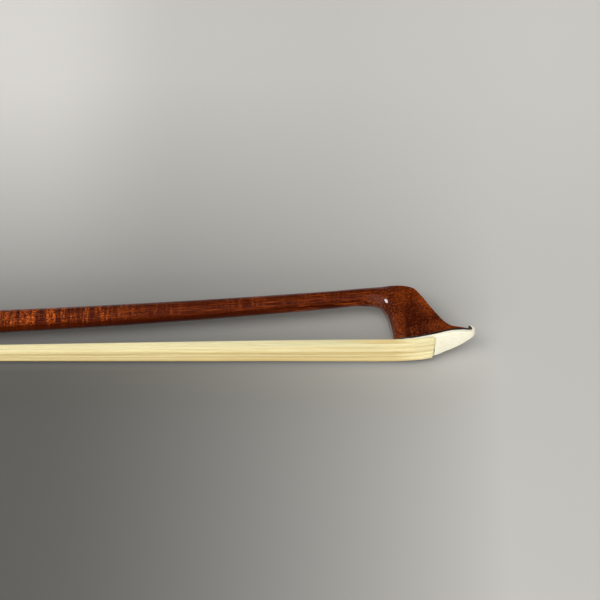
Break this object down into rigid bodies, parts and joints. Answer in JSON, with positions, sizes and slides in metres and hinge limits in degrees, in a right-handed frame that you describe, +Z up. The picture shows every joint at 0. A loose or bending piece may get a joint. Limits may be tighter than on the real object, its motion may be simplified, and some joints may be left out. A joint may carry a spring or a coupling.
{
  "type": "viola bow",
  "caption": "Viola bow with a cambered round stick, pointed head, white tip plate, horsehair ribbon and a screw-adjusted frog.",
  "frame": {"origin": "bottom centre of the bow's box, the bow lying on its side", "axes": "+X along the hair towards the head, +Y from the hair towards the stick, +Z up across the bow's thickness"},
  "size_m": [0.7438, 0.0342, 0.0145],
  "materials": {
    "red_brown_varnished_wood": "varnished, glossy, figured",
    "ebony": "polished ebony",
    "bone": "polished bone",
    "silver": "polished silver",
    "pearl_shell": "polished shell",
    "horsehair": "straight natural horsehair",
    "maple": "plain sawn wood",
    "brass": "machined",
    "steel": "machined",
    "brown_leather": "smooth thin leather",
    "pale_lapping": "imitation baleen strip, pale",
    "dark_lapping": "imitation baleen strip, dark",
    "binding_thread": "waxed thread"
  },
  "bodies": {
    "stick": {"stick": "red_brown_varnished_wood", "head_liner": "ebony", "tip_plate": "bone", "hair_ribbon": "horsehair", "head_knot": "horsehair", "head_knot_thread": "binding_thread", "head_plug": "maple", "leather_grip": "brown_leather", "lapping_light": "pale_lapping", "lapping_dark": "dark_lapping"},
    "frog": {"frog_body": "ebony", "heel_plate": "silver", "heel_pin_upper": "silver", "heel_pin_lower": "silver", "eye_pearl_left": "pearl_shell", "eye_ring_left": "silver", "eye_pearl_right": "pearl_shell", "eye_ring_right": "silver", "slide_base": "silver", "slide_pearl": "pearl_shell", "ferrule": "silver", "hair_tail": "horsehair", "frog_knot": "horsehair", "frog_knot_thread": "binding_thread", "frog_plug": "maple", "spread_wedge": "maple", "underslide": "silver", "underslide_screw_front": "steel", "underslide_screw_rear": "steel", "eyelet": "brass"},
    "adjuster": {"button_front_ring": "silver", "button_core": "ebony", "button_rear_ring": "silver", "button_pearl": "pearl_shell", "screw": "steel"}
  },
  "joints": [
    {"name": "frog_slide", "type": "slide", "parent": "stick", "child": "frog", "axis": [-0.9972, 0.0748, 0], "range_m": [0, 0.009], "deforming": ["hair_ribbon"]},
    {"name": "screw_turn", "type": "hinge", "parent": "stick", "child": "adjuster", "pos_m": [-0.35169, 0.01123, 0.00725], "axis": [0.9972, -0.0748, 0], "range_deg": [0, 4321]}
  ],
  "couplings": [
    {"joint": "screw_turn", "follows": "frog_slide", "rad_per_m": 8377.6}
  ]
}
